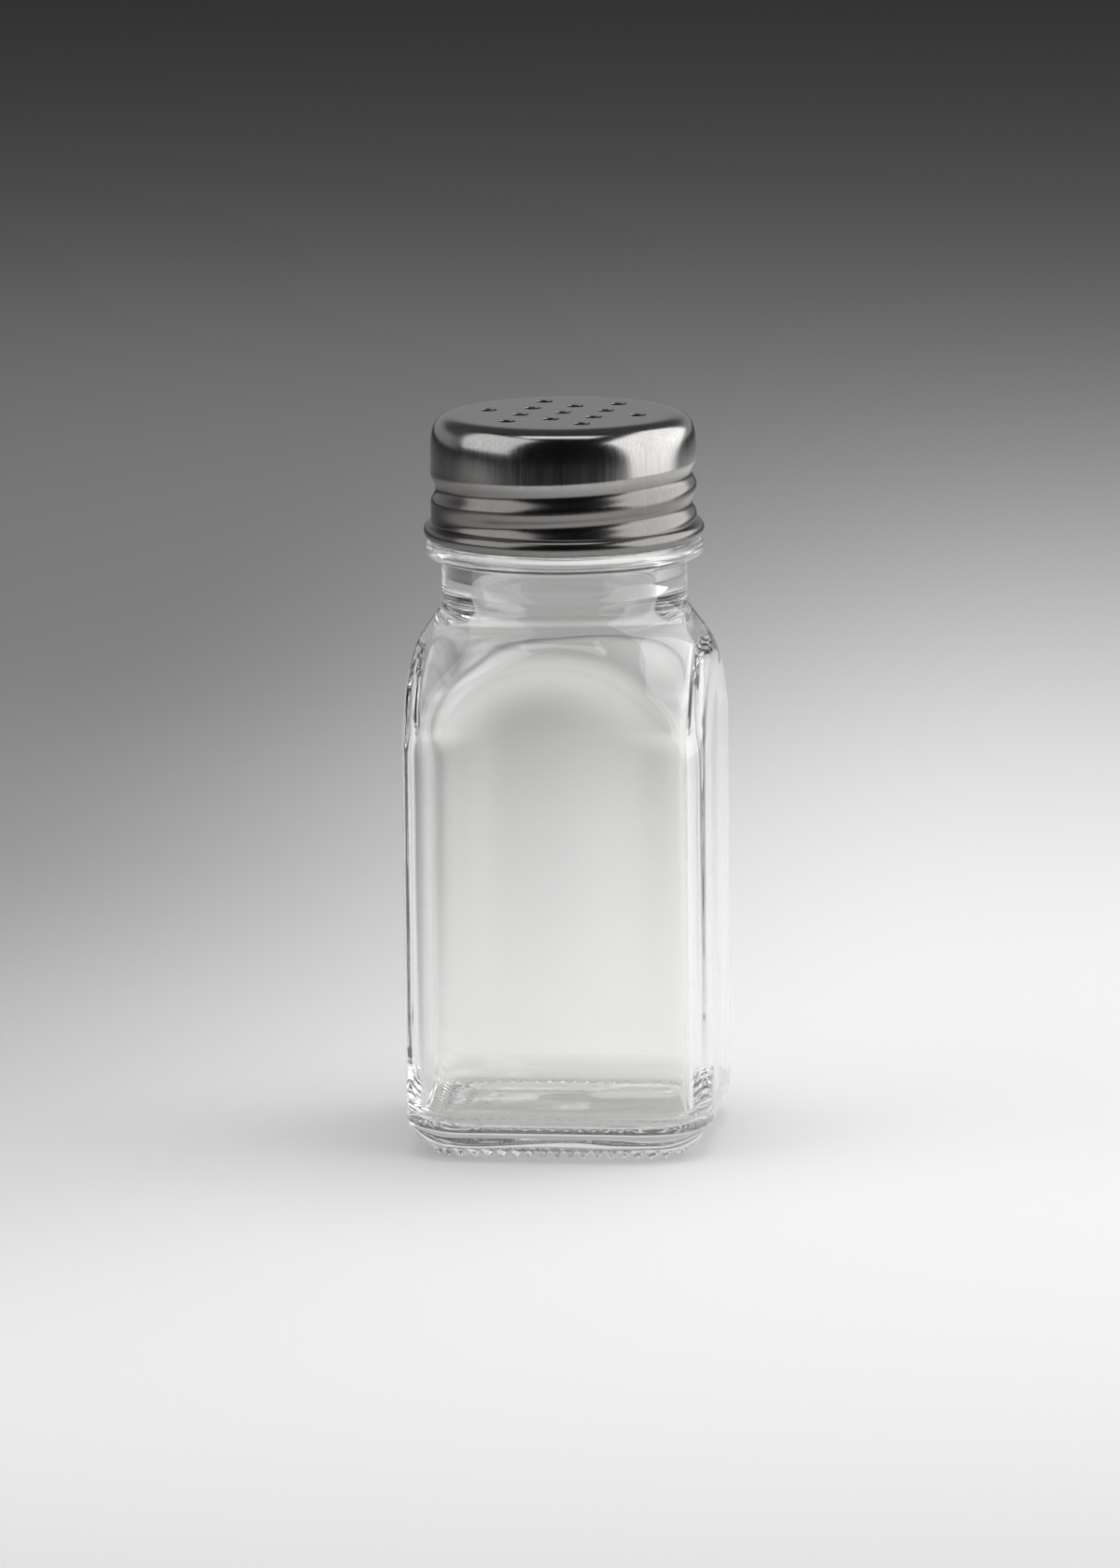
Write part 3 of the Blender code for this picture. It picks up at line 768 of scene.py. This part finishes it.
def lamp(name, place, aim, size, power, seen=True, lean=0.0):
    """A rectangular soft lamp at a place, turned to a point and leaning by an angle in its own plane."""
    data = bpy.data.lights.new(name, "AREA")
    data.shape = "RECTANGLE"
    data.size, data.size_y = size
    data.energy = power
    made = bpy.data.objects.new(name, data)
    made.location = place
    facing = (Vector(aim) - Vector(place)).to_track_quat("-Z", "Y")
    made.rotation_euler = (facing @ Quaternion((0.0, 0.0, 1.0), math.radians(lean))).to_euler()
    made.visible_glossy = seen
    made.visible_transmission = seen
    bpy.context.scene.collection.objects.link(made)


def studio_lamps():
    """A large leaning soft lamp close on the right, a smaller one on the left, a strip above and an even lamp
    overhead, which steel and glass don't show."""
    lamp("right_lamp", (0.50, 0.14, 0.375), aim=(0.0, 0.14, 0.375), size=(0.98, 0.75), power=4.2, lean=24.0)
    lamp("left_lamp", (-0.50, -0.22, 0.43), aim=(0.0, 0.0, 0.09), size=(0.68, 0.68), power=1.6)
    lamp("strip_lamp", (0.0, -0.23, 1.2), aim=(0.0, -0.23, 0.0), size=(0.9, 0.34), power=1.6)
    lamp("top_lamp", (0.1, 0.1, 1.2), aim=(0.0, 0.0, 0.0), size=(0.9, 0.9), power=9.5, seen=False)


def photo_camera():
    """The camera on a sphere around the shaker, aimed a little aside so that the shaker sits as framed."""
    azimuth, elevation = math.radians(CAMERA_AZIMUTH), math.radians(CAMERA_ELEVATION)
    away = Vector((math.sin(azimuth) * math.cos(elevation), -math.cos(azimuth) * math.cos(elevation),
                   math.sin(elevation)))
    right = Vector((math.cos(azimuth), math.sin(azimuth), 0.0))
    up = away.cross(right)
    aside = right * AIM_RIGHT + up * AIM_UP
    data = bpy.data.cameras.new("photo_camera")
    data.lens = LENS
    data.sensor_width = SENSOR
    data.clip_start = 0.01
    data.clip_end = 50.0
    made = bpy.data.objects.new("photo_camera", data)
    turn = Matrix((right, up, away)).transposed() @ Matrix.Rotation(math.radians(CAMERA_ROLL), 3, "Z")
    place = Vector(CAMERA_TARGET) + away * CAMERA_DISTANCE + aside
    made.matrix_world = Matrix.Translation(place) @ turn.to_4x4()
    bpy.context.scene.collection.objects.link(made)
    bpy.context.scene.camera = made


photo_camera()
glass_jar()
sealing_ring()
shaker_cap()
studio_floor()
studio_air()
studio_lamps()
bpy.context.scene.view_settings.view_transform = "Standard"
light_paths = bpy.context.scene.cycles
light_paths.max_bounces = light_paths.glossy_bounces = light_paths.transmission_bounces = GLASS_BOUNCES
